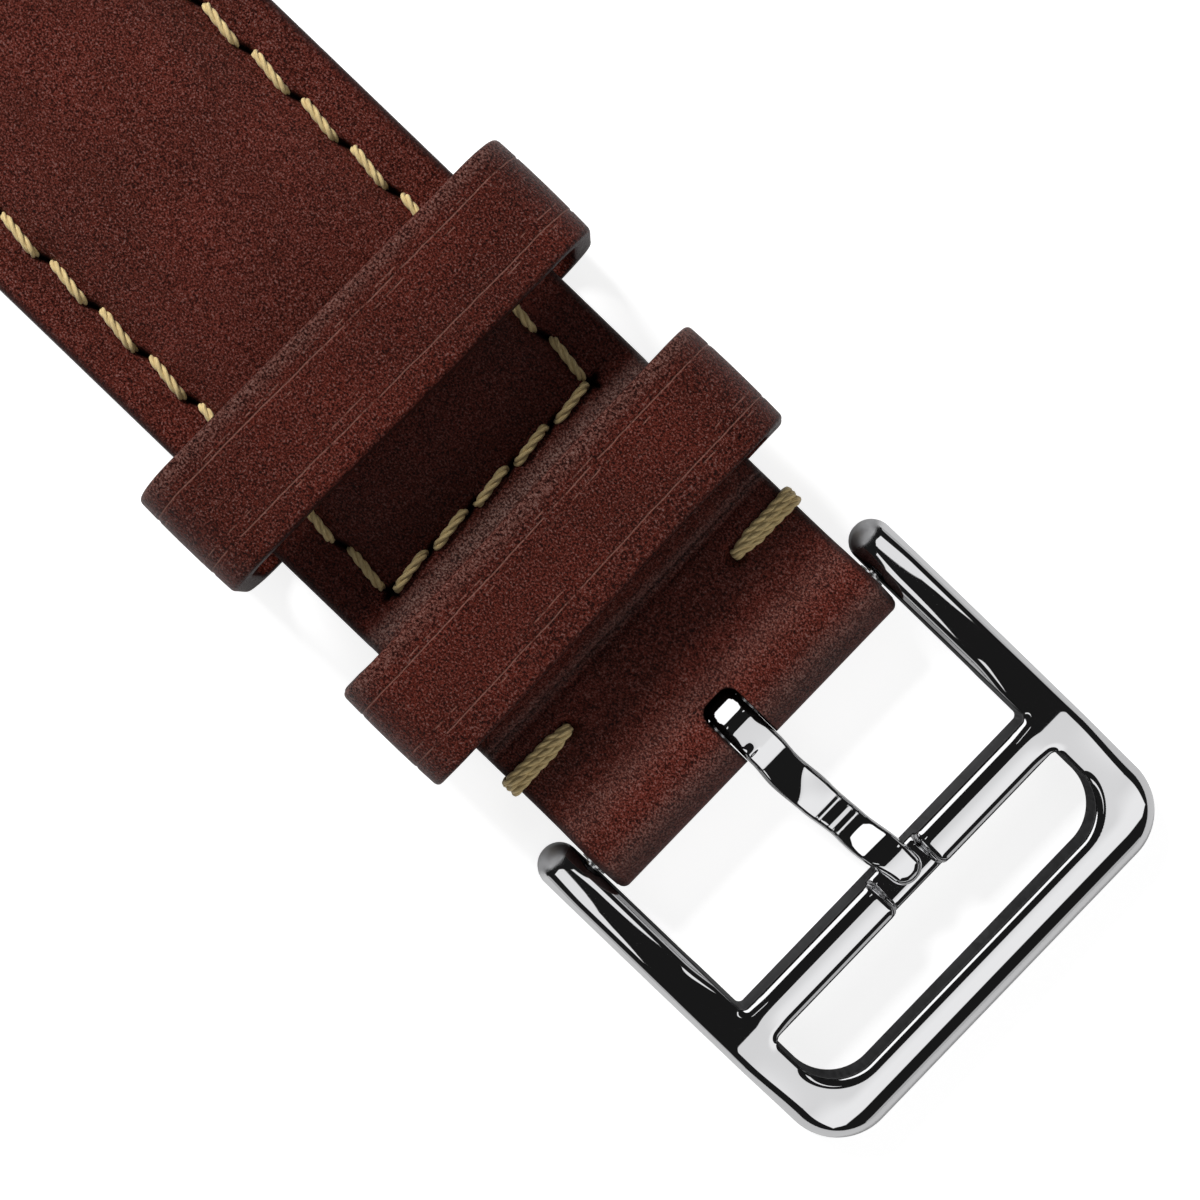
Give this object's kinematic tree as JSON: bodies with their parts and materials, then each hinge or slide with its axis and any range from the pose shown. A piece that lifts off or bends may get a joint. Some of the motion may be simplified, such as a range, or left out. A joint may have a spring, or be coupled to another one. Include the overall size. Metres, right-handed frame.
{
  "type": "leather watch strap, buckle half",
  "caption": "Padded leather watch strap half with a sewn seam, fixed and sliding keepers, tang buckle and sprung bars at both ends.",
  "frame": {"origin": "on the strap's wrist side, straight below the axis of the lug spring bar, in the middle of the strap's width", "axes": "+X from the watch to the buckle, +Y across the strap, +Z away from the wrist"},
  "size_m": [0.0967, 0.025, 0.0091],
  "materials": {
    "oxblood_leather": "satin fine-grained leather, deep red-brown, darker at the cut edges",
    "lining_leather": "matte smooth brown lining leather",
    "padding": "pale felt filler",
    "tan_thread": "waxed twisted thread, tan",
    "polished_steel": "mirror-polished steel with fine satin inner walls",
    "satin_steel": "fine turned satin steel"
  },
  "bodies": {
    "strap": {"upper_leather": "oxblood_leather", "lining_leather": "lining_leather", "padding_core": "padding", "upper_seam_thread": "tan_thread", "lower_seam_thread": "tan_thread", "bar_tack_left": "tan_thread", "bar_tack_right": "tan_thread", "fixed_keeper": "oxblood_leather"},
    "loose_keeper": {"floating_keeper": "oxblood_leather", "floating_keeper_thread": "tan_thread"},
    "lug_bar": {"lug_bar_tube": "satin_steel", "lug_bar_spring": "satin_steel"},
    "lug_pin_left": {"lug_bar_pin_left": "satin_steel"},
    "lug_pin_right": {"lug_bar_pin_right": "satin_steel"},
    "buckle_bar": {"buckle_bar_tube": "satin_steel", "buckle_bar_spring": "satin_steel"},
    "buckle_pin_left": {"buckle_bar_pin_left": "satin_steel"},
    "buckle_pin_right": {"buckle_bar_pin_right": "satin_steel"},
    "buckle": {"buckle_frame": "polished_steel"},
    "tongue": {"tongue": "polished_steel"}
  },
  "joints": [
    {"name": "loose_keeper_slide", "type": "slide", "parent": "strap", "child": "loose_keeper", "axis": [1, 0, 0], "range_m": [-0.024, 0.0065]},
    {"name": "lug_bar_spin", "type": "hinge", "parent": "strap", "child": "lug_bar", "pos_m": [0, 0, 0.00304], "axis": [0, 1, 0], "continuous": true},
    {"name": "lug_pin_left_press", "type": "slide", "parent": "lug_bar", "child": "lug_pin_left", "axis": [0, 1, 0], "range_m": [0, 0.00115], "stiffness_N_per_m": 400, "deforming": ["lug_bar_spring"]},
    {"name": "lug_pin_right_press", "type": "slide", "parent": "lug_bar", "child": "lug_pin_right", "axis": [0, -1, 0], "range_m": [0, 0.00115], "stiffness_N_per_m": 400, "deforming": ["lug_bar_spring"]},
    {"name": "buckle_bar_spin", "type": "hinge", "parent": "strap", "child": "buckle_bar", "pos_m": [0.075, 0, 0.00262], "axis": [0, 1, 0], "continuous": true},
    {"name": "buckle_pin_left_press", "type": "slide", "parent": "buckle_bar", "child": "buckle_pin_left", "axis": [0, 1, 0], "range_m": [0, 0.00115], "stiffness_N_per_m": 400, "deforming": ["buckle_bar_spring"]},
    {"name": "buckle_pin_right_press", "type": "slide", "parent": "buckle_bar", "child": "buckle_pin_right", "axis": [0, -1, 0], "range_m": [0, 0.00115], "stiffness_N_per_m": 400, "deforming": ["buckle_bar_spring"]},
    {"name": "buckle_swing", "type": "hinge", "parent": "strap", "child": "buckle", "pos_m": [0.075, 0, 0.00262], "axis": [0, -1, 0], "range_deg": [-90, 40]},
    {"name": "tongue_lift", "type": "hinge", "parent": "buckle", "child": "tongue", "pos_m": [0.075, 0, 0.00262], "axis": [0, -1, 0], "range_deg": [0, 54]}
  ]
}
